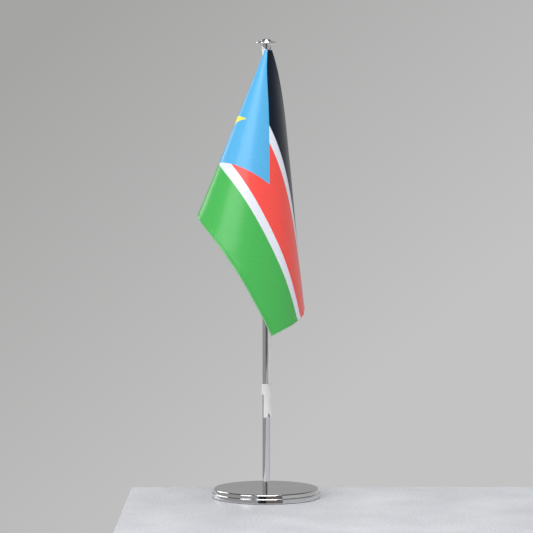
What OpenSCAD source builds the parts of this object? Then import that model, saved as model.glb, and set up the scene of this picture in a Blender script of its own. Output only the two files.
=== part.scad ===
// Desk flag stand: a weighted round base, a slim pole with a brimmed finial, and a small
// cloth flag that hangs from the pole by a tape loop at its top corner and a tape tie below.
// Millimetres, +Z up, origin at the centre of the base pad's underside, pole along +Z.

/* [Base] */
// Diameter over the rolled lower band
base_d = 100; // [84:1:140]
// Height from the table to the flat top of the base
base_h = 8.5; // [8:0.5:16]
// Wall of the pressed base cover
cover_t = 0.9; // [0.6:0.1:1.4]
// Height of the rolled lower band
band_h = 4.2; // [3:0.1:5]
// How far the lower band stands out past the side wall
band_step = 1.4; // [0.6:0.1:3]
// Radius of the band's rounded edges
band_r = 0.6; // [0.4:0.1:1.4]
// How far the side wall and the band each lean in from their lower to their upper edge
side_taper = 0.3; // [0:0.1:0.5]
// Gap between the cover's lower edge and the table
skirt_gap = 0.4; // [0.2:0.1:0.6]
// Radius of the rounded shoulder
shoulder_r = 1.3; // [1.2:0.1:2.4]
// Thickness of the pad under the base
pad_t = 1; // [0.6:0.1:2]

/* [Pole] */
// Outside diameter of the pole
pole_d = 7; // [6.4:0.1:9]
// Wall of the pole tube
tube_t = 0.7; // [0.5:0.05:0.8]
// Height from the table to the top of the finial
total_h = 421; // [400:1:560]
// Length of the threaded plug in each end of the tube
plug_l = 14; // [10:0.5:20]
// Thread diameter of the pole screw and of the finial stud
thread_d = 4; // [3:0.5:4]
// Length of the pole screw under its head
screw_l = 16; // [14:0.5:18]
// Diameter of the pole screw's head
screw_head_d = 8; // [7:0.1:9]
// Height of the pole screw's head
screw_head_h = 2.4; // [2:0.1:2.6]

/* [Finial] */
// Diameter of the finial's brim
brim_d = 19.6; // [16:0.2:28]
// Thickness of the brim at its root
brim_t = 1.9; // [1.6:0.1:2.6]
// How far the brim droops from its root to its edge
brim_droop = 0.8; // [0.2:0.1:1.5]
// Diameter of the domed crown
crown_d = 9.4; // [7:0.1:11]
// Height of the crown over the brim
crown_h = 2.2; // [1.5:0.1:4]
// Length of the neck under the brim
neck_h = 8; // [7:0.5:14]
// Length of the stud that holds the finial
stud_l = 15; // [12:0.5:18]

/* [Flag] */
// Cloth size along the pole, from top edge to bottom edge
flag_h = 150; // [120:1:190]
// Cloth size from the hoist edge to the fly edge
flag_w = 240; // [192:1:300]
// Thickness of the cloth
cloth_t = 0.4; // [0.2:0.1:0.8]
// How far the cloth's virtual top corner lies below the top of the finial
corner_drop = 2.5; // [1:0.5:6]
// Length of the corner that is cut off and turned in under the loop
corner_cut = 8.5; // [7:0.5:14]

/* [Tape] */
// Width of the woven tape
tape_w = 10; // [6:0.5:11]
// Thickness of the woven tape
tape_t = 0.5; // [0.3:0.1:0.8]
// Gap between the tape and the pole that it turns on
tape_gap = 0.3; // [0.2:0.05:0.5]
// Height of the middle of the tie that is wound round the pole
tie_z = 99.8; // [60:0.2:140]
// Length of the tape end that hangs below the middle of the tie
tail_l = 26; // [15:1:40]
// Depth of the swallow-tail cut in the tape's end
tail_cut = 4.2; // [2:0.2:6]

/* [Hidden] */

$fn = 96;
eps = 0.01;

// Fits, and the gap that stitches leave between two sewn layers
thread_gap = 0.02;
hole_gap = 0.3;
washer_gap = 0.15;
spring_gap = 0.2;
weight_gap = 0.3;
seam_gap = 0.1;
wrap_r = pole_d / 2 + tape_gap;

// Lifts of the layers sewn to the printed side of the hoist edge, from the cloth's middle
hoist_tape_lift = -cloth_t / 2 - seam_gap - tape_t;
loop_tab_lift = hoist_tape_lift - seam_gap - tape_t;
run_lift = loop_tab_lift - 2 * seam_gap;

// Base
base_r = base_d / 2;
side_r = base_r - band_step;
cavity_r = side_r - cover_t;
cavity_round = max(0.2, shoulder_r - cover_t);
band_round = min(band_r, band_step - side_taper, band_h / 2);
pad_inset = 1.5;
pad_r = cavity_r - pad_inset;
weight_top = base_h - cover_t;
weight_r = cavity_r - side_taper - weight_gap;
weight_round = cavity_round + weight_gap;
screw_hole_r = thread_d / 2 + hole_gap;

// Screw, washers and the recess that holds them
washer_t = 0.8;
washer_margin = 0.5;
washer_r = screw_head_d / 2 + washer_margin;
head_chamfer = 0.6;
spring_t = 1;
spring_wire = 1.5;
spring_slot = 0.9;
spring_slant = 25;
head_cover = 0.4;
recess_depth = head_cover + screw_head_h + spring_t + washer_t;
recess_margin = 1;
recess_r = washer_r + recess_margin;
head_z = pad_t + head_cover;
spring_z = head_z + screw_head_h;
washer_z = spring_z + spring_t;
cross_w = 1.2;
cross_l = 4.4;
cross_depth = 1.3;

// Pole
pole_r = pole_d / 2;
bore_r = pole_r - tube_t;
plug_chamfer = 0.5;
crown_z = total_h - crown_h;
neck_z = crown_z - brim_t - neck_h;
tube_l = neck_z - base_h;

// Finial
crown_r = crown_d / 2;
brim_r = brim_d / 2;
tip_r = 0.9;
root_step = 0.1;
neck_cove = 0.8;
neck_groove = 0.35;
stud_hole_l = neck_h;
stud_gap = 0.5;
stud_z = neck_z + stud_hole_l - stud_gap - stud_l;

// Drape of the flag. The cloth is one flat sheet, bent only along straight rulings. The
// rulings left of the lead ruling all start at the top hoist corner. The rulings right of it
// start at a second point, further up along the lead ruling. Each pair in a curl is the angle
// across the cloth from the lead ruling and the angle that the cloth has turned by there.
corner = [1.9, loop_tab_lift - wrap_r, total_h - corner_drop];
lead_angle = 30;
lead_slope = [0.04, -0.39, -1];
lead_roll = -41;
far_point_l = 147;
left_curl = [[0, 0], [8, 18], [16, 48], [22, 79], [26, 111], [32, 139], [44, 177], [60, 219]];
right_curl = [[0, 0], [2, -17.6], [6, -36], [12, -51], [24, -71]];
cloth_step = 1;
rule_step = 2;
left_span = 90 - lead_angle;
right_span = 24;

function unit(v) = v / norm(v);
function blend(a, b, t) = a + (b - a) * t;
function ease(t) = t * t * (3 - 2 * t);
function arc(r, a0, a1, n) = [for (i = [0 : n]) let (a = blend(a0, a1, i / n)) r * [cos(a), sin(a)]];
function shift(points, d) = [for (p = points) p + d];

// A frame is the direction of a ruling and the direction of travel across the cloth
lead_dir = unit(lead_slope);
level_dir = unit([-1, 0, 0] + lead_dir * lead_dir[0]);
travel_dir = level_dir * cos(lead_roll) + cross(lead_dir, level_dir) * sin(lead_roll);
far_point = corner - far_point_l * lead_dir;

function advance(f, span, turn) =
    let (normal = cross(f[0], f[1]), travel = f[1] * cos(span) - f[0] * sin(span))
    [f[0] * cos(span) + f[1] * sin(span), travel * cos(turn) + normal * sin(turn)];

function frames(first, curl, span) =
    [for (i = 0, f = first; i * cloth_step <= span + eps;
          f = advance(f, cloth_step,
                      lookup((i + 1) * cloth_step, curl) - lookup(i * cloth_step, curl)),
          i = i + 1) f];

left_frames = frames([lead_dir, travel_dir], left_curl, left_span);
right_frames = frames([lead_dir, -travel_dir], right_curl, right_span);

function frame_at(list, s) =
    let (i = min(floor(s / cloth_step), len(list) - 2), t = s / cloth_step - i)
    blend(list[i], list[i + 1], t);

// The place of flat point [u, v] of the cloth: u from the hoist edge, v from the top edge.
// A positive lift is towards the unprinted side.
function cloth_point(u, v, lift) =
    let (angle = atan2(v, u), left = angle >= lead_angle)
    left ? place(corner, frame_at(left_frames, angle - lead_angle), norm([u, v]), lift)
         : let (flat = [u, v] + far_point_l * [cos(lead_angle), sin(lead_angle)],
                s = lead_angle - atan2(flat[1], flat[0]))
           place(far_point, frame_at(right_frames, s), norm(flat), -lift);

function place(start, f, r, lift) = start + r * f[0] + lift * unit(cross(f[0], f[1]));

// Flat ends of each ruling, [near, far], from the hoist edge to the fly top corner
function left_ruling(angle) =
    let (d = [cos(angle), sin(angle)],
         far = min(flag_h / d[1], angle < 90 ? flag_w / d[0] : flag_h))
    [corner_cut * d, far * d];

function right_ruling(s) =
    let (a = lead_angle - s, d = [cos(a), sin(a)],
         start = -far_point_l * [cos(lead_angle), sin(lead_angle)],
         to_top = -start[1] / d[1],
         mid = -start * d,
         past_cut = mid + sqrt(max(0, mid * mid - start * start + corner_cut * corner_cut)),
         near = start + to_top * d)
    [near[0] < corner_cut ? start + past_cut * d : near,
     start + (flag_w - start[0]) / d[0] * d];

diagonal = atan2(flag_h, flag_w);
fly_span = lead_angle - atan2(far_point_l * sin(lead_angle), flag_w + far_point_l * cos(lead_angle));
right_count = ceil(fly_span / rule_step);
flag_rulings = concat(
    [for (a = [90 : -rule_step : diagonal + eps]) left_ruling(a)],
    [left_ruling(diagonal)],
    [for (a = [floor(diagonal / rule_step) * rule_step : -rule_step : lead_angle + eps])
        if (a < diagonal - eps) left_ruling(a)],
    [for (i = [0 : right_count]) right_ruling(fly_span * i / right_count)]);

// Tape round the pole. Angles are round the pole from +X.
tail_r = wrap_r + tape_t;
tail_turn = 240;
tail_arc = 118;
loop_h = 4.5;
loop_tilt = 50;
loop_turn = 30;
brim_gap = 1.2;
loop_top = crown_z - brim_t - brim_gap;
loop_z = loop_top - 4;
loop_tab_w = 4;
loop_tab_l = 6;
tab_rows = 4;
hoist_rows = 18;
hoist_columns = 6;
hoist_point = 0.45;
seam_start = corner_cut + 1;
seam_lap = 4;
run_count = 24;
run_points = 6;
run_slack = 0.15;
run_r = wrap_r + run_slack;
run_turn = 5;
run_cup = 0.85;
run_flat_end = 0.03;
run_bent_end = 0.64;
tail_cut_w = 4;
run_inner = cloth_point(tape_w, flag_h, run_lift);
run_outer = cloth_point(0, flag_h, run_lift);

// One closed solid through sections that all have the same even number of points
module loft(sections) {
    k = len(sections[0]);
    n = len(sections);
    points = [for (s = sections) for (p = s) p];
    sides = [for (i = [0 : n - 2]) for (j = [0 : k - 1])
        let (a = i * k + j, b = i * k + (j + 1) % k)
        each [[a, b, b + k], [a, b + k, a + k]]];
    caps = [for (j = [0 : k / 2 - 2])
        each [[j, k - 1 - j, k - 2 - j], [j, k - 2 - j, j + 1]]];
    far_caps = [for (t = caps) [for (q = [2, 1, 0]) t[q] + (n - 1) * k]];
    polyhedron(points, concat(sides, caps, far_caps), convexity = 10);
}

// A strip of cloth or tape laid on the flag, from flat rows of points, between two lifts
module laid_strip(rows, low, high) {
    loft([for (row = rows) concat(
        [for (p = row) cloth_point(p[0], p[1], low)],
        [for (i = [len(row) - 1 : -1 : 0]) cloth_point(row[i][0], row[i][1], high)])]);
}

module disc(r, z0, z1) {
    translate([0, 0, z0]) cylinder(r = r, h = z1 - z0);
}

module ring(r0, r1, z0, z1) {
    difference() {
        disc(r1, z0, z1);
        disc(r0, z0 - 1, z1 + 1);
    }
}

// Pressed and rolled from one sheet: flat top, round shoulder, straight side, lower band
module base_cover() {
    band_top = skirt_gap + band_h;
    outer = concat(
        shift(arc(shoulder_r, 90, 0, 8), [side_r - side_taper - shoulder_r, base_h - shoulder_r]),
        [[side_r, band_top]],
        shift(arc(band_round, 90, 0, 6), [base_r - side_taper - band_round, band_top - band_round]),
        shift(arc(band_round, 0, -90, 6), [base_r - band_round, skirt_gap + band_round]));
    cavity = shift(arc(cavity_round, 0, 90, 6),
                   [cavity_r - side_taper - cavity_round, weight_top - cavity_round]);
    color([0.58, 0.59, 0.6]) rotate_extrude($fn = 144) polygon(concat(
        [[screw_hole_r, base_h]], outer, [[cavity_r, skirt_gap], [cavity_r, band_top]], cavity,
        [[screw_hole_r, weight_top]]));
}

// Cast disc that fills the cover, with a recess under it for the screw's head
module base_weight() {
    color([0.25, 0.25, 0.26]) difference() {
        rotate_extrude($fn = 144) polygon(concat(
            [[0, pad_t], [weight_r, pad_t]],
            shift(arc(weight_round, 0, 90, 6), [weight_r - weight_round, weight_top - weight_round]),
            [[0, weight_top]]));
        disc(screw_hole_r, pad_t - 1, base_h);
        disc(recess_r, pad_t - 1, pad_t + recess_depth);
    }
}

module base_pad() {
    color([0.05, 0.05, 0.05]) disc(pad_r, 0, pad_t);
}

// Pan head with a cross recess, threaded up into the plug in the pole's foot
module pole_screw() {
    color([0.7, 0.7, 0.72]) difference() {
        union() {
            disc(thread_d / 2 - thread_gap, spring_z - eps, spring_z + screw_l);
            disc(screw_head_d / 2, head_z + head_chamfer, spring_z);
            translate([0, 0, head_z])
                cylinder(r1 = screw_head_d / 2 - head_chamfer, r2 = screw_head_d / 2, h = head_chamfer);
        }
        for (a = [0, 90]) rotate([0, 0, a])
            translate([-cross_l / 2, -cross_w / 2, head_z - 1]) cube([cross_l, cross_w, 1 + cross_depth]);
    }
}

module flat_washer() {
    color([0.72, 0.72, 0.74]) ring(thread_d / 2 + washer_gap, washer_r, washer_z, washer_z + washer_t);
}

module spring_washer() {
    inner_r = thread_d / 2 + spring_gap;
    color([0.35, 0.35, 0.37]) difference() {
        ring(inner_r, inner_r + spring_wire, spring_z, washer_z);
        translate([inner_r + spring_wire / 2, 0, (spring_z + washer_z) / 2]) rotate([spring_slant, 0, 0])
            cube([spring_wire + 1, spring_slot, 3 * spring_t], center = true);
    }
}

module pole_tube() {
    color([0.62, 0.62, 0.64]) ring(bore_r, pole_r, base_h, base_h + tube_l);
}

// Threaded plug pressed into one end of the tube, with both outer edges chamfered
module tube_plug(z) {
    difference() {
        union() {
            disc(bore_r, z + plug_chamfer, z + plug_l - plug_chamfer);
            translate([0, 0, z]) cylinder(r1 = bore_r - plug_chamfer, r2 = bore_r, h = plug_chamfer);
            translate([0, 0, z + plug_l - plug_chamfer])
                cylinder(r1 = bore_r, r2 = bore_r - plug_chamfer, h = plug_chamfer);
        }
        disc(thread_d / 2, z - 1, z + plug_l + 1);
    }
}

module pole_foot_plug() {
    color([0.78, 0.65, 0.35]) tube_plug(base_h);
}

module pole_top_plug() {
    color([0.78, 0.65, 0.35]) tube_plug(neck_z - plug_l);
}

module finial_stud() {
    color([0.7, 0.7, 0.72]) disc(thread_d / 2 - thread_gap, stud_z, stud_z + stud_l);
}

// Turned in one piece: domed crown, thin drooping brim, neck with a fine groove at its foot
module finial() {
    brim_end = [brim_r - tip_r, crown_z - tip_r - brim_droop];
    crown = [for (a = [90 : -10 : 10]) [crown_r * cos(a), crown_z + crown_h * sin(a)]];
    outline = concat(
        [[0, crown_z - brim_t - neck_h + stud_hole_l]],
        crown,
        [[crown_r, crown_z], [crown_r + neck_cove, crown_z - root_step]],
        shift(arc(tip_r, 80, -100, 6), brim_end),
        [[pole_r + neck_cove, crown_z - brim_t - root_step], [pole_r, crown_z - brim_t - neck_cove],
         [pole_r, neck_z + 2 * neck_groove], [pole_r - neck_groove, neck_z + neck_groove],
         [pole_r - neck_groove, neck_z], [thread_d / 2, neck_z],
         [thread_d / 2, neck_z + stud_hole_l]]);
    color([0.66, 0.66, 0.68]) rotate_extrude() polygon(outline);
}

// The whole draped sheet, as one closed solid of the cloth's thickness
module flag_cloth() {
    color([0.25, 0.6, 0.85]) laid_strip(flag_rulings, -cloth_t / 2, cloth_t / 2);
}

// Tape sewn down the printed side of the hoist edge, which faces the pole. Its upper end is
// folded to a point, clear of the flag's fold.
module hoist_tape() {
    color([0.93, 0.93, 0.91]) laid_strip(
        [for (i = [0 : hoist_rows]) let (v = blend(seam_start, flag_h, i / hoist_rows))
            [for (j = [0 : hoist_columns]) [min(tape_w, hoist_point * v) * j / hoist_columns, v]]],
        hoist_tape_lift, hoist_tape_lift + tape_t);
}

// Loop round the finial's neck, high at the back left and low at the front right, with a tab
// sewn to the hoist tape
module top_loop() {
    reach = 4 * wrap_r;
    color([0.93, 0.93, 0.91]) {
        intersection() {
            ring(wrap_r, tail_r, loop_z - reach, loop_top);
            translate([0, 0, loop_z]) rotate([0, 0, loop_turn]) rotate([loop_tilt, 0, 0])
                cube([reach, reach, loop_h], center = true);
        }
        laid_strip(
            [for (i = [0 : tab_rows]) let (v = seam_start + loop_tab_l * i / tab_rows)
                [for (j = [0 : tab_rows]) [loop_tab_w * j / tab_rows, v]]],
            loop_tab_lift, loop_tab_lift + tape_t);
    }
}

// Points across the tape that hangs down beside the pole. It leaves the hoist tape flat, and
// turns round the pole to its right side, where it lies curled against it.
function run_section(t) =
    let (
        s = ease(max(0, min(1, (t - run_flat_end) / (run_bent_end - run_flat_end)))),
        start = (run_inner + run_outer) / 2,
        z = blend(start[2] + seam_lap, tie_z + tape_w / 2, t),
        r = blend(norm([start[0], start[1]]), run_r, s),
        a = blend(atan2(start[1], start[0]), run_turn, s),
        across = blend(atan2(run_outer[1] - run_inner[1], run_outer[0] - run_inner[0]),
                       run_turn + 90, s),
        centre = r * [cos(a), sin(a)],
        side = [cos(across), sin(across)],
        out = [side[1], -side[0]],
        curl_r = wrap_r / max(run_cup * s, eps))
    [for (layer = [0, 1]) for (i = [0 : run_points])
        let (w = ((layer == 0 ? i : run_points - i) / run_points - 0.5) * tape_w,
             turn = w / curl_r * 180 / PI)
        concat(centre + side * curl_r * sin(turn) - out * curl_r * (1 - cos(turn))
               + layer * tape_t * (out * cos(turn) + side * sin(turn)), z)];

module tie_run() {
    color([0.93, 0.93, 0.91]) loft([for (i = [0 : run_count]) run_section(i / run_count)]);
}

// One turn of the tape round the pole
module tie_wrap() {
    color([0.93, 0.93, 0.91]) ring(wrap_r, tail_r, tie_z - tape_w / 2, tie_z + tape_w / 2);
}

// End of the tape: it lies over the turn, hangs down in front and ends in a swallow-tail cut
module tie_tail() {
    top_z = tie_z + tape_w / 2;
    color([0.93, 0.93, 0.91]) difference() {
        translate([0, 0, top_z - tail_l - tape_w / 2]) rotate([0, 0, tail_turn])
            rotate_extrude(angle = tail_arc)
                translate([tail_r, 0]) square([tape_t, tail_l + tape_w / 2]);
        rotate([0, 0, tail_turn + tail_arc / 2]) translate([0, 0, top_z - tail_l - tape_w / 2])
            rotate([90, 0, 90]) linear_extrude(2 * tail_r)
                polygon([[-tail_cut_w / 2, -1], [tail_cut_w / 2, -1], [0, tail_cut]]);
    }
}

base_cover();
base_weight();
base_pad();
pole_screw();
flat_washer();
spring_washer();
pole_tube();
pole_foot_plug();
pole_top_plug();
finial_stud();
finial();
flag_cloth();
hoist_tape();
top_loop();
tie_run();
tie_wrap();
tie_tail();
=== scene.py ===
"""Looks of the desk flag stand: chromed stand, draped satin flag, woven tape. Metres, +Z up."""
import math

import bmesh
import bpy
import numpy as np
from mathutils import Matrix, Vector


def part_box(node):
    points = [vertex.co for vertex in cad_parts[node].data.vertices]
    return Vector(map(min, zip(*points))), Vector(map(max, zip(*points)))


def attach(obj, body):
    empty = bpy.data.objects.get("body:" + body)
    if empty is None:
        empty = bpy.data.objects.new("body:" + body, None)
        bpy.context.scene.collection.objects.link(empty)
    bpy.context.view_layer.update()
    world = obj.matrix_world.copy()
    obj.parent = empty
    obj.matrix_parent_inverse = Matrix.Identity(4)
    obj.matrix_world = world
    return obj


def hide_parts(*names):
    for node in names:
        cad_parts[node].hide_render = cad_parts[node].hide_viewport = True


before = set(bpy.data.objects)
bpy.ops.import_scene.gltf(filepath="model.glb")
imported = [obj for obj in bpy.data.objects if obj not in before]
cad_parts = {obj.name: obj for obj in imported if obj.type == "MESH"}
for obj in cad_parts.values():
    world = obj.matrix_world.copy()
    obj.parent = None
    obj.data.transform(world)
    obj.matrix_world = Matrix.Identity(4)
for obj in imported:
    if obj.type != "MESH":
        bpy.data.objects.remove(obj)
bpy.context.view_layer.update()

MM = 0.001

# Sizes that the CAD nodes give
finial_low, finial_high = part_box("finial")
tube_low, tube_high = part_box("pole_tube")
cover_low, cover_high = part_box("base_cover")
wrap_low, wrap_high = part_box("tie_wrap")
tail_low, tail_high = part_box("tie_tail")
loop_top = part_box("top_loop")[1].z
TOTAL_H = finial_high.z
POLE_R = tube_high.x

# Flag and drape, with the same values as the CAD sheet. Angles are in degrees, and each curl is
# a list of pairs: the angle from the lead ruling, and how far the cloth has turned by then.
FLAG_H = 150 * MM
FLAG_W = 240 * MM
CLOTH_T = 0.3 * MM
CORNER = np.array([1.9 * MM, -5.2 * MM, TOTAL_H - 2.5 * MM])
CORNER_CUT = 8.5 * MM
LEAD_ANGLE = 30.0
LEAD_SLOPE = np.array([0.04, -0.39, -1.0])
LEAD_ROLL = -41.0
FAR_POINT_L = 147 * MM
LEFT_CURL = [(0, 0), (8, 18), (16, 48), (22, 79), (26, 111), (32, 139), (44, 177), (60, 219)]
RIGHT_CURL = [(0, 0), (2, -17.6), (6, -36), (12, -51), (24, -71)]
BEND_STEP = 0.25
BEND_EASE = 6
GATHER_TURN = 6.6
GATHER_L = 40 * MM

# Hems, and how finely the flag is meshed. The last ruling stops short of the fly's top corner
# by the last angle, because it would have no length there.
HEM_W = 3.2 * MM
HEM_T = 0.22 * MM
HEM_SEAM = 2.1 * MM
HEM_SAMPLES = 21
MIDDLE_SAMPLES = 110
RULING_STEP = 0.75
RIGHT_RULINGS = 48
CORNER_EASE = 0.03

# Print. The stripes' ends are shares of the flag's height
BLACK_END = 0.296
RED_START = 0.357
TRIANGLE_L = 119.1 * MM
STAR_AT = (38 * MM, 75 * MM)
STAR_R = 23 * MM
STAR_ARM = 248.3
PRINT_EDGE = 0.25 * MM
PRINT = {
    "black": (0.003, 0.008, 0.018), "white": (0.64, 0.66, 0.73), "red": (0.75, 0.075, 0.062),
    "green": (0.06, 0.37, 0.08), "blue": (0.085, 0.355, 0.62), "yellow": (0.80, 0.66, 0.05),
}

# Tape. A sewn tape is never wider than a share of its distance from the flag's corner
TAPE_W = 10 * MM
TAPE_T = 0.5 * MM
TAPE_START = CORNER_CUT + 1 * MM
TAPE_TAPER = 0.45
SEAM_FIT = CLOTH_T / 2 + 0.05 * MM
SEAM_GAP = 0.1 * MM
WRAP_R = POLE_R + 0.3 * MM

# Stitches. The profile gives places along a stitch and its girth there, as shares
STITCH_PITCH = 2.6 * MM
STITCH_L = 2.0 * MM
STITCH_R = 0.13 * MM
STITCH_SIDES = 6
STITCH_PROFILE = [(-0.5, 0.25), (-0.38, 0.85), (0.0, 1.0), (0.38, 0.85), (0.5, 0.25)]


# ---------------------------------------------------------------- drape

def unit(v):
    return v / np.linalg.norm(v, axis=-1, keepdims=True)


def flat_direction(angle):
    """A direction in the flat cut, at an angle from the top edge."""
    return np.array([math.cos(math.radians(angle)), math.sin(math.radians(angle))])


def bend(first, travel, curl):
    """Directions and normals of a fan of rulings, every BEND_STEP degrees of the flat cloth."""
    angles = np.arange(int(round(curl[-1][0] / BEND_STEP)) + 1) * BEND_STEP
    turned = np.interp(angles, *zip(*curl))
    window = 2 * BEND_EASE + 1
    padded = np.pad(turned, BEND_EASE, mode="reflect", reflect_type="odd")
    soft = np.convolve(padded, np.ones(window) / window, "valid")
    soft[0], soft[-1] = turned[0], turned[-1]
    rulings = [(first, travel)]
    c, s = math.cos(math.radians(BEND_STEP)), math.sin(math.radians(BEND_STEP))
    for turn in np.radians(np.diff(soft)):
        d, t = rulings[-1]
        heading = t * c - d * s
        rulings.append((d * c + t * s, heading * math.cos(turn) + np.cross(d, t) * math.sin(turn)))
    directions, travels = (np.array(rows) for rows in zip(*rulings))
    return angles, directions, unit(np.cross(directions, travels))


lead_dir = unit(LEAD_SLOPE)
level_dir = unit(np.array([-1.0, 0, 0]) + lead_dir * lead_dir[0])
roll = math.radians(LEAD_ROLL)
travel_dir = level_dir * math.cos(roll) + np.cross(lead_dir, level_dir) * math.sin(roll)
far_point = CORNER - FAR_POINT_L * lead_dir
far_flat = FAR_POINT_L * flat_direction(LEAD_ANGLE)
left_fan = bend(lead_dir, travel_dir, LEFT_CURL)
right_fan = bend(lead_dir, -travel_dir, RIGHT_CURL)


def along_fan(fan, angle):
    """Direction and normal of a fan's ruling at an angle from the lead ruling."""
    angles, *tables = fan
    direction, normal = (np.stack([np.interp(angle, angles, column) for column in table.T], -1)
                         for table in tables)
    return direction, unit(normal)


def cloth(u, v, lift=0.0):
    """Places and normals of flat points (u from the hoist, v from the top) of the draped sheet.
    Left of the lead ruling the rulings meet at the corner, right of it at the far point.
    A positive lift is towards the unprinted side."""
    u, v = np.broadcast_arrays(np.asarray(u, float), np.asarray(v, float))
    reach, angle = np.hypot(u, v), np.degrees(np.arctan2(v, u))
    angle = angle + GATHER_TURN * np.exp(-(reach / GATHER_L) ** 2) * np.sin(np.radians(2 * angle))
    gathered = np.stack([reach * np.cos(np.radians(angle)), reach * np.sin(np.radians(angle))], -1)
    left_dir, left_normal = along_fan(left_fan, angle - LEAD_ANGLE)
    left_place = CORNER + reach[..., None] * left_dir
    flat = gathered + far_flat
    right_angle = LEAD_ANGLE - np.degrees(np.arctan2(flat[..., 1], flat[..., 0]))
    right_dir, right_normal = along_fan(right_fan, right_angle)
    right_place = far_point + np.linalg.norm(flat, axis=-1)[..., None] * right_dir
    on_left = (angle >= LEAD_ANGLE)[..., None]
    normal = np.where(on_left, left_normal, -right_normal)
    return np.where(on_left, left_place, right_place) + np.asarray(lift)[..., None] * normal, normal


def left_ruling(angle):
    """The flat ends of the left cone's ruling at an angle from the top edge."""
    d = flat_direction(angle)
    to_fly = FLAG_W / max(d[0], 1e-9)
    return CORNER_CUT * d, min(FLAG_H / d[1], to_fly) * d


def right_ruling(past_lead):
    """The flat ends of the right cone's ruling, at an angle from the lead ruling."""
    d = flat_direction(LEAD_ANGLE - past_lead)
    start = -far_flat
    near = start - start[1] / d[1] * d
    if near[0] < CORNER_CUT:   # it starts on the round cut at the corner
        mid = -start @ d
        near = start + (mid + math.sqrt(max(0, mid * mid - start @ start + CORNER_CUT ** 2))) * d
    return near, start + (FLAG_W - start[0]) / d[0] * d


# ---------------------------------------------------------------- mesh helpers

def mend(mesh, weld=0.0):
    """Joins points that lie within weld of each other, and turns every face outward."""
    shell = bmesh.new()
    shell.from_mesh(mesh)
    if weld:
        bmesh.ops.remove_doubles(shell, verts=shell.verts, dist=weld)
    bmesh.ops.recalc_face_normals(shell, faces=shell.faces)
    shell.to_mesh(mesh)
    shell.free()


def add_mesh(name, points, faces, material, cut=None, smooth=True):
    """A new object. cut is each point's place in the flat cloth and the face of it, [u, v, side]."""
    mesh = bpy.data.meshes.new(name)
    mesh.from_pydata([tuple(p) for p in points], [], [tuple(int(i) for i in f) for f in faces])
    if cut is not None:
        layer = mesh.attributes.new("cut", "FLOAT_VECTOR", "POINT")
        layer.data.foreach_set("vector", np.asarray(cut, np.float32).ravel())
    mend(mesh)
    piece = bpy.data.objects.new(name, mesh)
    bpy.context.collection.objects.link(piece)
    mesh.materials.append(material)
    mesh.polygons.foreach_set("use_smooth", [smooth] * len(mesh.polygons))
    return piece


def grid_faces(index):
    """Quads over a grid of point numbers."""
    return np.stack([index[:-1, :-1], index[:-1, 1:], index[1:, 1:], index[1:, :-1]], -1).reshape(-1, 4)


def shell_faces(rows, columns, first=0):
    """Faces of a closed thin sheet: a grid, a second grid behind it, and the rim between them."""
    size = rows * columns
    index = np.arange(size).reshape(rows, columns)
    rim = np.concatenate([index[0, :], index[1:, -1], index[-1, -2::-1], index[-2:0:-1, 0]])
    after = np.roll(rim, -1)
    walls = np.stack([rim, rim + size, after + size, after], -1)
    return first + np.concatenate([grid_faces(index), grid_faces(index + size)[:, ::-1], walls])


def lathe(name, profile, material, segments):
    """A solid of revolution about +Z from a closed profile of [radius, height] points."""
    profile = np.asarray(profile, float)
    a = np.linspace(0, 2 * math.pi, segments, endpoint=False)[:, None]
    heights = np.broadcast_to(profile[:, 1], (segments, len(profile)))
    points = np.stack([profile[:, 0] * np.cos(a), profile[:, 0] * np.sin(a), heights], -1)
    index = np.arange(segments * len(profile)).reshape(segments, -1)
    across, up = np.roll(index, -1, 0), np.roll(index, -1, 1)
    faces = np.stack([index, across, np.roll(across, -1, 1), up], -1).reshape(-1, 4)
    piece = add_mesh(name, points.reshape(-1, 3), faces, material)
    mend(piece.data, weld=1e-7)
    piece.data.set_sharp_from_angle(angle=math.radians(35))
    return piece


# ---------------------------------------------------------------- materials

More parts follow.
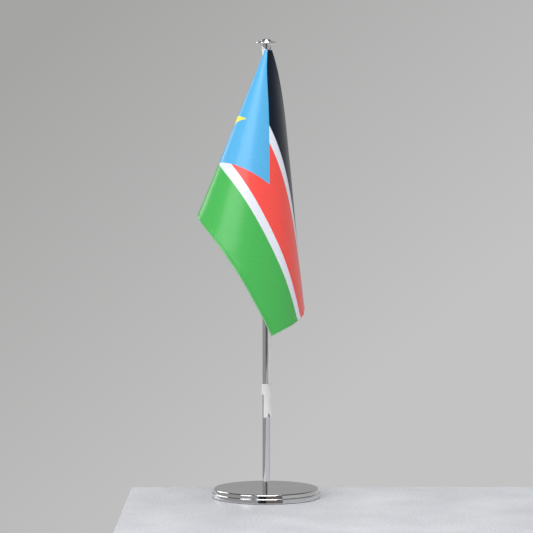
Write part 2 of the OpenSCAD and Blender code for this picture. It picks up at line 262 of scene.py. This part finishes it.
class Nodes:
    """The node tree of a material or a world, built in short calls."""

    def __init__(self, name, owner=None, shader="Principled BSDF"):
        self.material = owner or bpy.data.materials.new(name)
        self.material.use_nodes = True
        self.tree = self.material.node_tree
        self.shader = self.tree.nodes[shader]

    def add(self, kind, inputs=(), **settings):
        node = self.tree.nodes.new(kind)
        for key, value in settings.items():
            setattr(node, key, value)
        for key, value in dict(inputs).items():
            self.put(node.inputs[key], value)
        return node

    def put(self, socket, value):
        if isinstance(value, bpy.types.NodeSocket):
            self.tree.links.new(value, socket)
        else:
            socket.default_value = value

    def math(self, operation, *values, clamp=False):
        node = self.add("ShaderNodeMath", operation=operation, use_clamp=clamp)
        for k, value in enumerate(values):
            self.put(node.inputs[k], value)
        return node.outputs[0]

    def mix(self, factor, a, b):
        node = self.add("ShaderNodeMix", data_type="RGBA")
        self.put(node.inputs[0], factor)
        for k, value in ((6, a), (7, b)):
            self.put(node.inputs[k], value if isinstance(value, bpy.types.NodeSocket) else (*value, 1))
        return node.outputs[2]

    def place(self):
        return self.add("ShaderNodeTexCoord").outputs["Object"]

    def cut(self):
        """The flat cut's place as a vector, then from the hoist, from the top, and which face."""
        vector = self.add("ShaderNodeAttribute", attribute_name="cut").outputs["Vector"]
        return vector, *self.add("ShaderNodeSeparateXYZ", {"Vector": vector}).outputs

    def noise(self, scale, detail, vector=None):
        node = self.add("ShaderNodeTexNoise", {"Scale": scale, "Detail": detail})
        self.put(node.inputs["Vector"], vector or self.place())
        return node.outputs["Fac"]

    def ramp(self, value, low, high, to_low=0.0, to_high=1.0):
        node = self.add("ShaderNodeMapRange", {"From Min": low, "From Max": high,
                                               "To Min": to_low, "To Max": to_high, "Value": value})
        return node.outputs["Result"]

    def phase(self, value, pitch):
        return self.math("MULTIPLY", value, 2 * math.pi / pitch)

    def ripple(self, phase):
        """A sine between 0 and 1."""
        return self.math("MULTIPLY_ADD", self.math("SINE", phase), 0.5, 0.5)

    def bump(self, height, distance, strength=1.0):
        node = self.add("ShaderNodeBump", {"Height": height, "Distance": distance, "Strength": strength})
        self.put(self.shader.inputs["Normal"], node.outputs["Normal"])

    def set(self, **inputs):
        for key, value in inputs.items():
            socket = self.shader.inputs[key.replace("_", " ")]
            self.put(socket, (*value, 1) if isinstance(value, tuple) and len(value) == 3 else value)


def chrome_material():
    """Bright plating with faint polishing marks and a few smudges."""
    n = Nodes("chrome_plate")
    smudge = n.ramp(n.noise(35, 4), 0.45, 0.75)
    n.set(Metallic=1.0, Base_Color=n.mix(smudge, (0.70, 0.70, 0.715), (0.64, 0.64, 0.65)),
          Roughness=n.math("MULTIPLY_ADD", smudge, 0.06, 0.045))
    n.bump(n.noise(900, 2), 0.004 * MM, 0.5)
    return n.material


def plain_metal(name, color, roughness, grain, depth):
    """Unpolished metal whose low spots are darker and rougher."""
    n = Nodes(name)
    grit = n.noise(grain, 5)
    darker = tuple(c * 0.6 for c in color)
    n.set(Metallic=1.0, Base_Color=n.mix(n.ramp(grit, 0.3, 0.7), darker, color),
          Roughness=n.ramp(grit, 0.3, 0.7, roughness + 0.15, roughness))
    n.bump(grit, depth)
    return n.material


def foam_material():
    """Black foam with small cells."""
    n = Nodes("pad_foam")
    cells = n.add("ShaderNodeTexVoronoi", {"Scale": 1800.0, "Vector": n.place()})
    n.set(Base_Color=(0.018, 0.018, 0.019), Roughness=0.85)
    n.bump(cells.outputs["Distance"], 0.15 * MM)
    return n.material


def tape_material():
    """White twill: diagonal ridges across the tape, shade between them and a soft uneven tone."""
    n = Nodes("tape_twill")
    _, along, across, _ = n.cut()
    ridge = n.ripple(n.math("ADD", n.phase(along, 1.1 * MM), n.phase(across, 0.9 * MM)))
    yarn = n.ripple(n.phase(along, 0.28 * MM))
    tone = n.ramp(n.noise(160, 3), 0.3, 0.7, 0.0, 0.35)
    base = n.mix(tone, (0.96, 0.96, 0.95), (0.88, 0.88, 0.86))
    shade = n.ramp(ridge, 0.0, 0.35, 0.18, 0.0)
    n.set(Base_Color=n.mix(shade, base, (0.72, 0.72, 0.70)), Roughness=0.75,
          Sheen_Weight=0.15, Sheen_Roughness=0.4)
    n.bump(n.math("MULTIPLY_ADD", yarn, 0.35, ridge), 0.05 * MM)
    return n.material


def print_color(n, u, v):
    """The printed colour at a flat place: five stripes, a triangle from the hoist and a star."""
    wander = n.math("MULTIPLY", n.math("SUBTRACT", n.noise(900, 1), 0.5), 0.2 * MM)
    uneven_v = n.math("ADD", v, wander)

    def past(share):
        return n.ramp(uneven_v, share * FLAG_H - PRINT_EDGE, share * FLAG_H + PRINT_EDGE)

    color = n.mix(past(BLACK_END), PRINT["black"], PRINT["white"])
    for share, name in ((RED_START, "red"), (1 - RED_START, "white"), (1 - BLACK_END, "green")):
        color = n.mix(past(share), color, PRINT[name])
    from_middle = n.math("ABSOLUTE", n.math("SUBTRACT", v, FLAG_H / 2))
    reach = n.math("MULTIPLY_ADD", from_middle, -TRIANGLE_L / (FLAG_H / 2), TRIANGLE_L)
    inside = n.ramp(n.math("SUBTRACT", reach, u), -PRINT_EDGE, PRINT_EDGE)
    color = n.mix(inside, color, PRINT["blue"])

    # A point is in the star if it is on the inner side of four of its five long lines
    line_at = STAR_R * math.cos(math.radians(72))
    sides = 0.0
    for k in range(5):
        c, s = flat_direction(STAR_ARM + 72 * k)
        reached = n.math("ADD", n.math("MULTIPLY", n.math("SUBTRACT", u, STAR_AT[0]), c),
                         n.math("MULTIPLY", n.math("SUBTRACT", v, STAR_AT[1]), s))
        sides = n.math("ADD", n.ramp(reached, line_at + PRINT_EDGE, line_at - PRINT_EDGE), sides)
    return n.mix(n.math("SUBTRACT", sides, 3.0, clamp=True), color, PRINT["yellow"])


def satin_material():
    """Printed satin: paler on the reverse and at its edges, with painted shade (darker) along the hem's
    stitch line.
    """
    n = Nodes("flag_satin_print")
    cut, u, v, side = n.cut()
    color = n.mix(n.math("MULTIPLY", side, 0.10), print_color(n, u, v), (0.75, 0.77, 0.8))
    edge = n.math("MINIMUM", n.math("MINIMUM", v, n.math("SUBTRACT", FLAG_H, v)),
                  n.math("SUBTRACT", FLAG_W, u))
    color = n.mix(n.ramp(edge, 0.2 * MM, 0.7 * MM, 0.3, 0.0), color, (0.7, 0.72, 0.76))

    # Floats run down the cloth, over a fine twill
    down = n.add("ShaderNodeMapping", {"Vector": cut, "Scale": (1.0, 0.12, 0.0)}).outputs["Vector"]
    floats, slub = n.noise(6500, 2, down), n.noise(1400, 2, down)
    twill = n.math("SINE", n.math("ADD", n.phase(u, 0.34 * MM), n.phase(v, 0.62 * MM)))
    # Painted shade: a narrow darker band along the hem's stitch line, where the pressed-in seam would be
    # shaded; tone carries it together with the slub's random tone.
    seam_shade = n.ramp(n.math("ABSOLUTE", n.math("SUBTRACT", edge, HEM_SEAM)), 0.1 * MM, 0.7 * MM, 0.84, 1.0)
    tone = n.math("MULTIPLY", seam_shade, n.ramp(slub, 0.3, 0.7, 0.95, 1.04))
    color = n.add("ShaderNodeHueSaturation", {"Color": color, "Value": tone}).outputs["Color"]
    n.set(Base_Color=color, Specular_IOR_Level=0.16, Roughness=n.ramp(slub, 0.3, 0.7, 0.28, 0.34))
    n.bump(n.math("ADD", floats, n.math("MULTIPLY", twill, 0.3)), 0.008 * MM, 0.3)
    return n.material


def twist_bump(n):
    """The lay of a thread's strands."""
    twist = n.add("ShaderNodeTexWave", {"Scale": 2500.0, "Vector": n.place()}, bands_direction="DIAGONAL")
    n.bump(twist.outputs["Fac"], 0.03 * MM)


def white_thread_material():
    n = Nodes("white_thread")
    n.set(Base_Color=(0.78, 0.78, 0.77), Roughness=0.5, Sheen_Weight=0.2)
    twist_bump(n)
    return n.material


def hem_thread_material():
    """Thread that took the print of the cloth it was sewn in."""
    n = Nodes("printed_thread")
    _, u, v, _ = n.cut()
    n.set(Base_Color=n.mix(0.12, print_color(n, u, v), (0.8, 0.82, 0.84)), Roughness=0.5,
          Sheen_Weight=0.1)
    twist_bump(n)
    return n.material


CHROME = chrome_material()
TAPE = tape_material()
SATIN = satin_material()
WHITE_THREAD = white_thread_material()
HEM_THREAD = hem_thread_material()

CAD_LOOKS = {
    "base_weight": plain_metal("cast_iron", (0.09, 0.09, 0.095), 0.6, 700, 0.12 * MM),
    "base_pad": foam_material(),
    "pole_screw": plain_metal("zinc_screw", (0.62, 0.62, 0.64), 0.28, 1500, 0.004 * MM),
    "flat_washer": plain_metal("zinc_washer", (0.66, 0.66, 0.67), 0.3, 1200, 0.004 * MM),
    "spring_washer": plain_metal("spring_steel", (0.3, 0.3, 0.32), 0.35, 1200, 0.006 * MM),
    "pole_foot_plug": plain_metal("brass_plug", (0.72, 0.55, 0.24), 0.25, 1600, 0.004 * MM),
    "pole_top_plug": plain_metal("brass_top_plug", (0.72, 0.55, 0.24), 0.25, 1600, 0.004 * MM),
    "finial_stud": plain_metal("zinc_stud", (0.62, 0.62, 0.64), 0.28, 1500, 0.004 * MM),
}
for node, look in CAD_LOOKS.items():
    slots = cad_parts[node].data.materials
    slots.clear()
    slots.append(look)


# ---------------------------------------------------------------- plated shells

def arc(centre, radius, start, end, count):
    a = np.radians(np.linspace(start, end, count))
    return np.stack([centre[0] + radius * np.cos(a), centre[1] + radius * np.sin(a)], -1)


def rounded(corners, radius, count=5):
    """A closed profile whose corners are eased, so that they catch the light as plated edges do."""
    corners = np.asarray(corners, float)
    t = np.linspace(0, 1, count)[:, None]
    rows = []
    for before, corner, after in zip(np.roll(corners, 1, 0), corners, np.roll(corners, -1, 0)):
        start, end = (corner + unit(other - corner) * min(radius, 0.45 * np.linalg.norm(other - corner))
                      for other in (before, after))
        rows.append((1 - t) ** 2 * start + 2 * t * (1 - t) * corner + t * t * end)
    return np.concatenate(rows)


def make_base_cover():
    """Flat top, round shoulder, leaning side and rolled lower band, open underneath."""
    radius, top, low = cover_high.x, cover_high.z, cover_low.z
    wall, hole, shoulder, taper, lean = 0.9 * MM, 2.3 * MM, 1.3 * MM, 0.3 * MM, 7
    band_step, band_h, band_r, fillet = 1.4 * MM, 4.2 * MM, 0.6 * MM, 0.3 * MM
    side, band_top = radius - band_step, low + band_h
    inner, inner_r = side - wall, shoulder - wall
    flat_r = np.linspace(2 * hole, side - taper - shoulder, 12)[:-1]
    outline = np.concatenate([
        [[hole, top]], np.stack([flat_r, np.full_like(flat_r, top)], -1),
        arc((side - taper - shoulder, top - shoulder), shoulder, 90, lean, 28),
        arc((side + fillet, band_top + fillet), fillet, 180, 270, 7),
        arc((radius - taper - band_r, band_top - band_r), band_r, 90, lean, 14),
        arc((radius - band_r, low + band_r), band_r, lean, -90, 14),
        [[inner, low], [inner, band_top]],
        arc((inner - taper - inner_r, top - wall - inner_r), inner_r, 0, 90, 10),
        [[hole, top - wall]]])
    return lathe("base_cover_plated", outline, CHROME, segments=288)


def make_pole_tube():
    """The visible tube, with a small chamfer at each end."""
    wall, chamfer, rings = 0.7 * MM, 0.1 * MM, 60
    bore = POLE_R - wall
    outer = np.stack([np.full(rings, POLE_R), np.linspace(tube_low.z, tube_high.z, rings)], -1)
    outer[0, 0] = outer[-1, 0] = POLE_R - chamfer
    outer[1, 1], outer[-2, 1] = tube_low.z + chamfer, tube_high.z - chamfer
    outline = np.concatenate([outer, [[bore, tube_high.z], [bore, tube_low.z]]])
    return lathe("pole_tube_plated", outline, CHROME, segments=96)


def make_finial():
    """Domed crown, thin drooping brim with a round edge, and a neck with a fine groove."""
    top, foot, brim = finial_high.z, finial_low.z, finial_high.x
    crown_r, crown_h, brim_t, droop, tip = 4.7 * MM, 2.2 * MM, 1.9 * MM, 0.8 * MM, 0.9 * MM
    cove, groove, groove_edge, hole = 0.8 * MM, 0.35 * MM, 0.06 * MM, 2.0 * MM
    hole_top, groove_r = foot + 8 * MM, POLE_R - groove
    seat = top - crown_h
    a = np.radians(np.linspace(89, 8, 26))
    neck = rounded([[POLE_R, foot + 2.4 * groove], [groove_r, foot + 1.4 * groove], [groove_r, foot]],
                   groove_edge)
    outline = np.concatenate([
        [[0.0, hole_top], [0.0, top]],
        np.stack([crown_r * np.cos(a), seat + crown_h * np.sin(a)], -1),
        arc((crown_r + cove, seat + 0.9 * cove), cove, 190, 262, 8),
        arc((brim - tip, seat - tip - droop), tip, 80, -100, 16),
        arc((POLE_R + cove, seat - brim_t - cove), cove, 92, 180, 10),
        neck[:-3],   # the foot itself stays sharp
        [[groove_r, foot], [hole, foot], [hole, hole_top]]])
    return lathe("finial_plated", outline, CHROME, segments=192)


for piece, node in ((make_base_cover(), "base_cover"), (make_pole_tube(), "pole_tube"),
                    (make_finial(), "finial")):
    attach(piece, "stand")
    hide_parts(node)


# ---------------------------------------------------------------- flag

def ruling_samples(near, far):
    """Flat points along one ruling, closer together over the hems."""
    margin = 2 * HEM_W / max(np.linalg.norm(far - near), 5 * HEM_W)
    dense = np.linspace(0, margin, HEM_SAMPLES)
    middle = np.linspace(margin, 1 - margin, MIDDLE_SAMPLES)[1:-1]
    steps = np.concatenate([dense, middle, 1 - dense[::-1]])
    return near + steps[:, None] * (far - near)


def flag_rulings():
    """All rulings from the hoist to the fly. One of them ends in the fly's lower corner."""
    diagonal = math.degrees(math.atan2(FLAG_H, FLAG_W))
    to_corner = math.degrees(math.atan2(far_flat[1], FLAG_W + far_flat[0]))
    left = sorted([*np.arange(LEAD_ANGLE + RULING_STEP, 90.01, RULING_STEP), diagonal], reverse=True)
    right = np.linspace(0, LEAD_ANGLE - to_corner - CORNER_EASE, RIGHT_RULINGS)
    return [ruling_samples(*left_ruling(a)) for a in left] + [ruling_samples(*right_ruling(s)) for s in right]


def wave(at, length, phase=0.0):
    return np.sin(at / length + phase)


def flutter(u, v):
    """Small waves of real cloth: a slow one over the sheet, and finer ones at the foot and the fly."""
    slow_h, edge_h, fly_zone, foot_zone, still_zone = 0.35 * MM, 0.30 * MM, 60 * MM, 30 * MM, 30 * MM
    to_fly = np.clip((u - FLAG_W) / fly_zone + 1, 0, 1)
    to_foot = np.clip((v - FLAG_H) / foot_zone + 1, 0, 1) * np.clip(u / fly_zone, 0, 1)
    slow = slow_h * wave(u, 31 * MM, 1.3) * wave(v, 23 * MM, 0.4)
    foot = edge_h * to_foot ** 2 * wave(u, 4.6 * MM) * wave(u, 17 * MM, 1.0)
    fly = edge_h * to_fly ** 2 * wave(v, 4.1 * MM, 0.6) * wave(v, 15 * MM)
    return (slow + foot + fly) * np.clip(u / still_zone, 0, 1)


def make_flag():
    """The draped sheet, thicker over its hems and pressed in along their seams."""
    step_w, edge_w, edge_share, dent_w, dent_share = 0.12 * MM, 0.5 * MM, 0.35, 0.35 * MM, 0.7
    flat = np.array(flag_rulings())
    u, v = flat[..., 0], flat[..., 1]
    edge = np.minimum(np.minimum(v, FLAG_H - v), FLAG_W - u)
    folded = 1 / (1 + np.exp((edge - HEM_W) / step_w))
    rounding = np.clip(edge_share + edge / edge_w, edge_share, 1)
    dent = dent_share * np.exp(-((edge - HEM_SEAM) / dent_w) ** 2)
    half = CLOTH_T / 2 + HEM_T * folded * rounding * (1 - dent)
    middle = flutter(u, v)
    points = [cloth(u, v, middle + side * half)[0].reshape(-1, 3) for side in (-1, 1)]
    cut = [np.pad(flat.reshape(-1, 2), ((0, 0), (0, 1)), constant_values=side) for side in (0, 1)]
    piece = add_mesh("satin_flag", np.concatenate(points), shell_faces(*u.shape), SATIN, np.concatenate(cut))
    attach(piece, "flag_set")
    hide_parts("flag_cloth")
    return piece


def stitches_along(points, normals, flat, lift):
    """Short thread capsules laid along a curve: the points of each, and the flat place of each."""
    reach = np.concatenate([[0], np.cumsum(np.linalg.norm(np.diff(points, axis=0), axis=1))])

    def at(s, rows):
        return np.array([np.interp(s, reach, column) for column in rows.T])

    ring = np.linspace(0, 2 * math.pi, STITCH_SIDES, endpoint=False)
    along, girth = np.array(STITCH_PROFILE).T[..., None]
    across, out = STITCH_R * girth * np.cos(ring), 0.7 * STITCH_R * girth * np.sin(ring)
    sunk = lift - 0.6 * STITCH_R * np.abs(along)
    capsules, places = [], []
    for s in np.arange(STITCH_PITCH, reach[-1] - STITCH_PITCH, STITCH_PITCH):
        n = unit(at(s, normals))
        d = unit(at(s + STITCH_L / 2, points) - at(s - STITCH_L / 2, points))
        body = ((STITCH_L * along)[..., None] * d + across[..., None] * np.cross(d, n)
                + (sunk + out)[..., None] * n)
        capsules.append((at(s, points) + body).reshape(-1, 3))
        places.append([*at(s, flat), 0.0])
    return capsules, places


def make_stitches(name, lines, lifts, material):
    """Stitches along flat routes, seen on both sides of the cloth. lifts are their heights there."""
    capsules, places = [], []
    for flat in lines:
        middle, normal = cloth(flat[:, 0], flat[:, 1], flutter(flat[:, 0], flat[:, 1]))
        for side, lift in zip((-1, 1), lifts):
            more, cuts = stitches_along(middle, side * normal, flat, lift)
            capsules += more
            places += cuts
    index = np.arange(len(STITCH_PROFILE) * STITCH_SIDES).reshape(-1, STITCH_SIDES)
    sides = grid_faces(np.concatenate([index, index[:, :1]], 1))
    faces = [face + k * index.size for k in range(len(capsules))
             for face in (*sides, index[0][::-1], index[-1])]
    piece = add_mesh(name, np.concatenate(capsules), faces, material, np.repeat(places, index.size, 0))
    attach(piece, "flag_set")
    return piece


def flat_line(u0, v0, u1, v1):
    t = np.linspace(0, 1, 160)[:, None]
    return (1 - t) * np.array([u0, v0]) + t * np.array([u1, v1])


flag = make_flag()
foot_seam, fly_seam, hem_surface = FLAG_H - HEM_SEAM, FLAG_W - HEM_SEAM, (CLOTH_T + HEM_T) / 2
hem_stitches = make_stitches("hem_stitches", [
    flat_line(14 * MM, HEM_SEAM, fly_seam, HEM_SEAM),
    flat_line(12 * MM, foot_seam, fly_seam, foot_seam),
    flat_line(fly_seam, HEM_SEAM, fly_seam, foot_seam)], [hem_surface, hem_surface], HEM_THREAD)


# ---------------------------------------------------------------- tape

def add_tape(name, strips, replaced):
    """One piece from several strips of the same tape, each as its inner face, outer face and cut."""
    points, faces, cuts = [], [], []
    for inner, outer, flat in strips:
        faces.append(shell_faces(*inner.shape[:2], sum(len(p) for p in points)))
        points += [outer.reshape(-1, 3), inner.reshape(-1, 3)]
        cuts += 2 * [np.pad(flat.reshape(-1, 2), ((0, 0), (0, 1)))]
    piece = add_mesh(name, np.concatenate(points), np.concatenate(faces), TAPE, np.concatenate(cuts))
    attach(piece, "flag_set")
    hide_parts(*replaced)
    return piece


def flat_grid(rows, columns, length):
    """Flat coordinates of a tape: [along, across]."""
    along, across = np.meshgrid(np.linspace(0, length, rows), np.linspace(-TAPE_W / 2, TAPE_W / 2, columns),
                                indexing="ij")
    return np.stack([along, across], -1)


def round_pole(turn, radius, z):
    return np.stack([radius * np.cos(turn), radius * np.sin(turn), z], -1)


def sewn_strip(flat, width, layer):
    """A tape sewn along the hoist, as the first or the second layer on the cloth's printed side."""
    v = flat[..., 0] + TAPE_START
    u = (flat[..., 1] / TAPE_W + 0.5) * np.minimum(width, TAPE_TAPER * v)
    outer = -SEAM_FIT - layer * (SEAM_GAP + TAPE_T)
    faces = (cloth(u, v, np.full(u.shape, lift))[0] for lift in (outer + TAPE_T, outer))
    return *faces, flat


def loop_strips():
    """The tape folded in half along its length, round the neck, and its sewn tab."""
    tilt, low_side, below_top = math.radians(50), math.radians(30), 4.0 * MM
    fold_h, unevenness, fold_sharpness = 2.3 * MM, 0.06, 9
    layer_r, layer_shift, half_t = WRAP_R + 0.27 * MM, 0.14 * MM, 0.11 * MM
    tab_w, tab_l = 4 * MM, 6 * MM
    flat = flat_grid(220, 33, 2 * math.pi * (WRAP_R + TAPE_T / 2))
    turn = flat[..., 0] / (WRAP_R + TAPE_T / 2)
    share = flat[..., 1] / TAPE_W
    half_h = fold_h / math.cos(tilt) * (1 + unevenness * np.sin(3 * turn))
    middle_z = loop_top - below_top + (WRAP_R + TAPE_T / 2) * np.sin(turn - low_side) * math.tan(tilt)
    upper = np.minimum(middle_z + half_h, loop_top)
    lower = middle_z - half_h
    z = lower + (upper - lower) * np.abs(share) * 2
    r = layer_r + layer_shift * np.tanh(share * fold_sharpness)
    ring = (round_pole(turn, r - half_t, z), round_pole(turn, r + half_t, z), flat)
    return ring, sewn_strip(flat_grid(40, 17, tab_l), tab_w, 2)


def run_strip():
    """From the foot of the hoist tape, round to the right of the pole and down to the tie."""
    lap, turn_start, turn_end, clearance = 4 * MM, 0.03, 0.64, 0.15 * MM
    end_place, end_facing, flat_share, curled_share = math.radians(5), math.radians(95), 0.01, 0.85
    lift = -SEAM_FIT - 4 * SEAM_GAP - 2 * TAPE_T
    ends, _ = cloth(np.array([TAPE_W, 0.0]), np.full(2, FLAG_H), np.full(2, lift))
    start, slope = ends.mean(0), ends[1] - ends[0]
    length = start[2] + lap - wrap_high.z
    flat = flat_grid(420, 29, length)
    t = np.clip((flat[..., 0] / length - turn_start) / (turn_end - turn_start), 0, 1)
    s = t * t * (3 - 2 * t)

    def blend(a, b):
        return a + (b - a) * s

    r = blend(math.hypot(start[0], start[1]), WRAP_R + clearance)
    a = blend(math.atan2(start[1], start[0]), end_place)
    across = blend(math.atan2(slope[1], slope[0]), end_facing)
    curl = WRAP_R / np.maximum(curled_share * s, flat_share)
    turn = flat[..., 1] / curl
    side = np.stack([np.cos(across), np.sin(across)], -1)
    out = np.stack([side[..., 1], -side[..., 0]], -1)
    centre = r[..., None] * np.stack([np.cos(a), np.sin(a)], -1)
    base = centre + side * (curl * np.sin(turn))[..., None] - out * (curl * (1 - np.cos(turn)))[..., None]
    facing = out * np.cos(turn)[..., None] + side * np.sin(turn)[..., None]
    z = (start[2] + lap - flat[..., 0])[..., None]
    inner, outer = (np.concatenate([base + lift * facing, z], -1) for lift in (0.0, TAPE_T))
    return inner, outer, flat


def wrap_strip():
    """One full turn, a little slack and uneven."""
    start, slack_r, width_share, thickness = math.radians(20), 0.03 * MM, 0.97, 0.94 * TAPE_T
    flat = flat_grid(260, 33, 2 * math.pi * WRAP_R)
    turn = flat[..., 0] / WRAP_R + start
    inner_r = WRAP_R + slack_r * (1 + np.sin(2 * turn + 0.5))
    z = (wrap_low.z + wrap_high.z) / 2 + flat[..., 1] * width_share
    return round_pole(turn, inner_r, z), round_pole(turn, inner_r + thickness, z), flat


def tail_strip():
    """Curled end that hangs over the turn, with a swallow-tail cut."""
    notch_h, notch_share, middle_at, spread = 4.2 * MM, 0.44, math.radians(299), math.radians(118)
    wave_h, stand_off, fit = 0.10 * MM, 0.25 * MM, 0.02 * MM
    length = tail_high.z - tail_low.z
    flat = flat_grid(240, 41, length)
    across = flat[..., 1] / TAPE_W
    notch = notch_h * np.clip(1 - np.abs(across) * 2 / notch_share, 0, 1)
    down = flat[..., 0] * (1 - notch / length)
    turn = middle_at + across * spread
    below = np.clip((down - TAPE_W) / (length - TAPE_W), 0, 1)
    r = WRAP_R + TAPE_T + wave_h * wave(down, 3.1 * MM) * below + stand_off * below ** 2
    z = tail_high.z - down
    flat[..., 0] = down
    return round_pole(turn, r + fit, z), round_pole(turn, r + TAPE_T, z), flat


hoist_strip = sewn_strip(flat_grid(240, 25, FLAG_H - TAPE_START), TAPE_W, 1)
add_tape("hoist_tape_woven", [hoist_strip], ["hoist_tape"])
add_tape("top_loop_woven", loop_strips(), ["top_loop"])
tie_strips = [run_strip(), wrap_strip(), tail_strip()]
add_tape("tie_tape_woven", tie_strips, ["tie_run", "tie_wrap", "tie_tail"])

outer_seam, inner_seam, seam_end = 1.2 * MM, TAPE_W - 1.2 * MM, FLAG_H - 3 * MM
hoist_stitches = make_stitches("hoist_stitches", [
    flat_line(outer_seam, 14 * MM, outer_seam, seam_end),
    flat_line(inner_seam, 26 * MM, inner_seam, seam_end)],
    [SEAM_FIT + SEAM_GAP + TAPE_T, CLOTH_T / 2], WHITE_THREAD)


# ---------------------------------------------------------------- stage, light and camera

def table_material():
    """Pale table top, finely mottled."""
    n = Nodes("table_top")
    fine, broad = n.noise(420, 6), n.noise(14, 3)
    tone = n.ramp(n.math("MULTIPLY_ADD", broad, 0.4, n.math("MULTIPLY", fine, 0.6)), 0.36, 0.64)
    n.set(Base_Color=n.mix(tone, (0.45, 0.46, 0.49), (0.64, 0.65, 0.68)), Roughness=0.5)
    n.bump(fine, 0.4 * MM)
    return n.material


def make_table():
    """A slab whose left and back edges are near the stand."""
    left, right, near, far, thick = -0.128, 1.4, -1.3, 0.067, 0.03
    corners = [(x, y, z) for z in (-thick, 0) for x, y in
               ((left, near), (right, near), (right, far), (left, far))]
    faces = [(4, 5, 6, 7), (0, 3, 2, 1), (0, 1, 5, 4), (1, 2, 6, 5), (2, 3, 7, 6), (3, 0, 4, 7)]
    slab = add_mesh("table_slab", corners, faces, table_material(), smooth=False)
    soften = slab.modifiers.new("edge", "BEVEL")
    soften.width, soften.segments = 1.5 * MM, 3


def make_world():
    """A grey room, lighter low on the right, under a dim ceiling."""
    dark_wall, light_wall, ceiling = (0.375, 0.375, 0.37), (0.545, 0.545, 0.545), (0.10, 0.10, 0.105)
    world = bpy.data.worlds.new("room")
    bpy.context.scene.world = world
    n = Nodes("room", world, "Background")
    direction = n.add("ShaderNodeTexCoord").outputs["Generated"]
    x, _, z = n.add("ShaderNodeSeparateXYZ", {"Vector": direction}).outputs
    slope = n.math("ADD", x, n.math("MULTIPLY", z, -1.2))
    wall = n.mix(n.ramp(slope, -0.16, 0.16), dark_wall, light_wall)
    n.set(Color=n.mix(n.ramp(z, 0.3, 0.6), wall, ceiling), Strength=1.0)


def add_card(name, start, end, distance, color):
    """A dark upright card behind the camera, from one azimuth to another, that only metal mirrors."""
    low, high = -0.6, 1.3
    n = Nodes(name)
    n.tree.nodes.remove(n.shader)
    glow = n.add("ShaderNodeEmission", {"Color": (*color, 1)})
    n.tree.links.new(glow.outputs[0], n.tree.nodes["Material Output"].inputs["Surface"])
    corners = [(distance * math.sin(math.radians(a)), -distance * math.cos(math.radians(a)), z)
               for a, z in ((start, low), (end, low), (end, high), (start, high))]
    card = add_mesh(name, corners, [(0, 1, 2, 3)], n.material, smooth=False)
    card.visible_camera = card.visible_diffuse = card.visible_shadow = False


def add_light(name, place, target, size, power, glossy=True):
    data = bpy.data.lights.new(name, "AREA")
    data.shape = "RECTANGLE"
    data.size, data.size_y = size
    data.energy = power
    lamp = bpy.data.objects.new(name, data)
    bpy.context.collection.objects.link(lamp)
    lamp.location = place
    lamp.rotation_euler = (Vector(target) - Vector(place)).to_track_quat("-Z", "Y").to_euler()
    lamp.visible_camera = False
    lamp.visible_glossy = glossy


def make_camera():
    """A long lens in front of the stand, a little above its middle."""
    tilt_down = 2.66
    data = bpy.data.cameras.new("camera")
    camera = bpy.data.objects.new("camera", data)
    bpy.context.collection.objects.link(camera)
    data.sensor_width, data.lens = 36.0, 157.55
    data.clip_start, data.clip_end = 0.05, 50
    camera.location = (0.0002, -2.139, 0.312)
    camera.rotation_euler = (math.radians(90 - tilt_down), 0, 0)
    bpy.context.scene.camera = camera


make_table()
make_world()
add_card("brown_card", -10, 35, 3.0, (0.17, 0.15, 0.14))
add_card("black_card", -17, 9, 2.9, (0.025, 0.024, 0.026))
add_light("front_high", (0.05, -1.15, 1.85), (0, 0, 0.27), (1.3, 0.9), 34)
add_light("overhead", (0.1, -0.1, 2.3), (0, 0, 0.3), (1.2, 1.0), 12)
add_light("left_front", (-1.35, -1.26, 0.95), (0, 0, 0.25), (0.8, 1.1), 15)
add_light("left_back", (-1.3, 1.1, 0.9), (0, 0, 0.25), (0.7, 1.1), 9)
add_light("right_fill", (1.5, -0.4, 0.8), (0, 0, 0.25), (0.8, 1.0), 3, glossy=False)
make_camera()
bpy.context.scene.view_settings.view_transform = "Standard"
